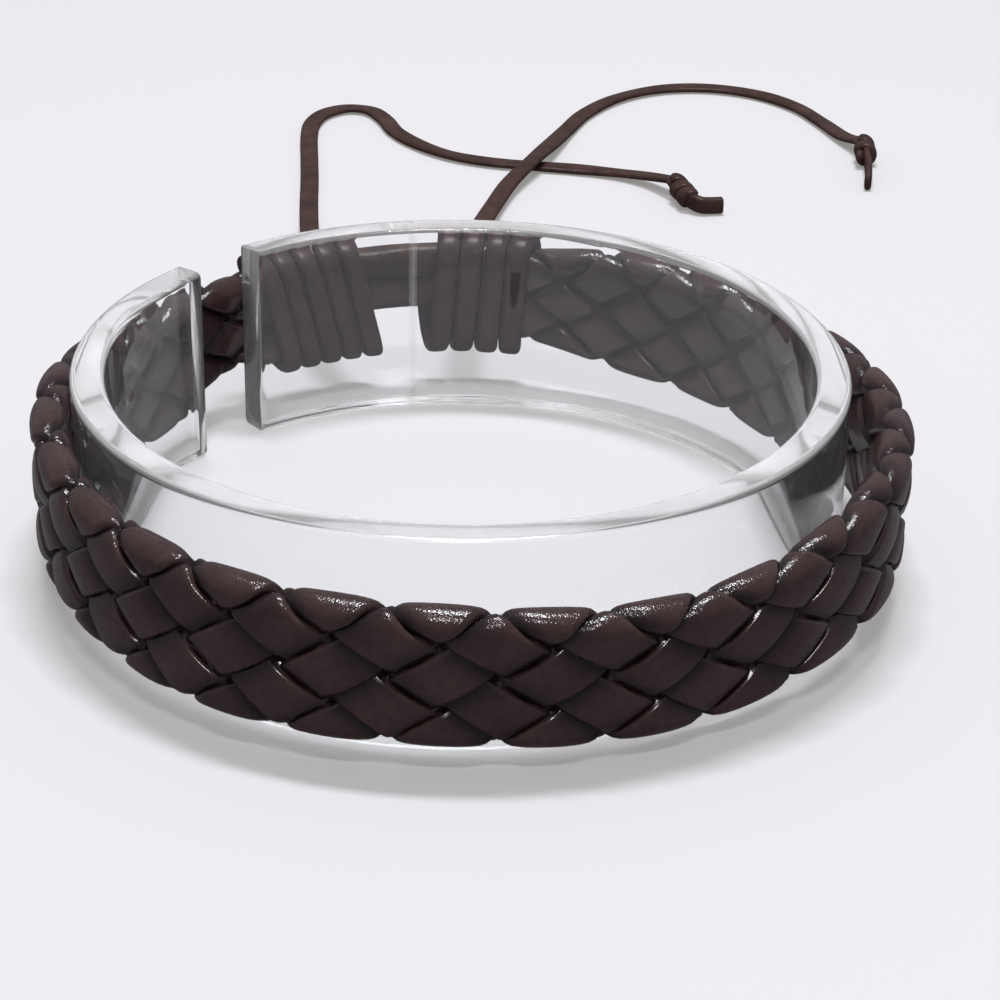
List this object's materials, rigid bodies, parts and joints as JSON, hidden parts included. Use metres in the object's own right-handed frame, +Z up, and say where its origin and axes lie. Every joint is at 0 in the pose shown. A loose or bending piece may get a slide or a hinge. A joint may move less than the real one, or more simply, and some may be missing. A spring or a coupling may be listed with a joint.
{
  "type": "braided leather bracelet on clear display ring",
  "caption": "Flat braided leather bracelet with sliding wrapped closure and knotted pull laces, fitted round a clear split display ring that stands on its edge.",
  "frame": {"origin": "on the surface that the display ring stands on, below the middle of the box round the ring and the braid", "axes": "+Z up along the ring's axis; -Y towards the front, where the picture looks at the braid; +Y towards the closure and the pull laces"},
  "size_m": [0.0809, 0.1544, 0.0172],
  "materials": {
    "clear_plastic": "clear, polished",
    "braid_leather": "smooth, satin",
    "lace_leather": "smooth, satin"
  },
  "bodies": {
    "root": {"display_ring": "clear_plastic", "strand_a1": "braid_leather", "strand_a2": "braid_leather", "strand_a3": "braid_leather", "strand_a4": "braid_leather", "strand_b1": "braid_leather", "strand_b2": "braid_leather", "strand_b3": "braid_leather", "strand_b4": "braid_leather", "wrap_left": "lace_leather", "wrap_right": "lace_leather", "tie_upper": "lace_leather", "tie_lower": "lace_leather", "cord_left": "lace_leather", "cord_right": "lace_leather", "knot_left": "lace_leather", "knot_right": "lace_leather"}
  },
  "joints": []
}
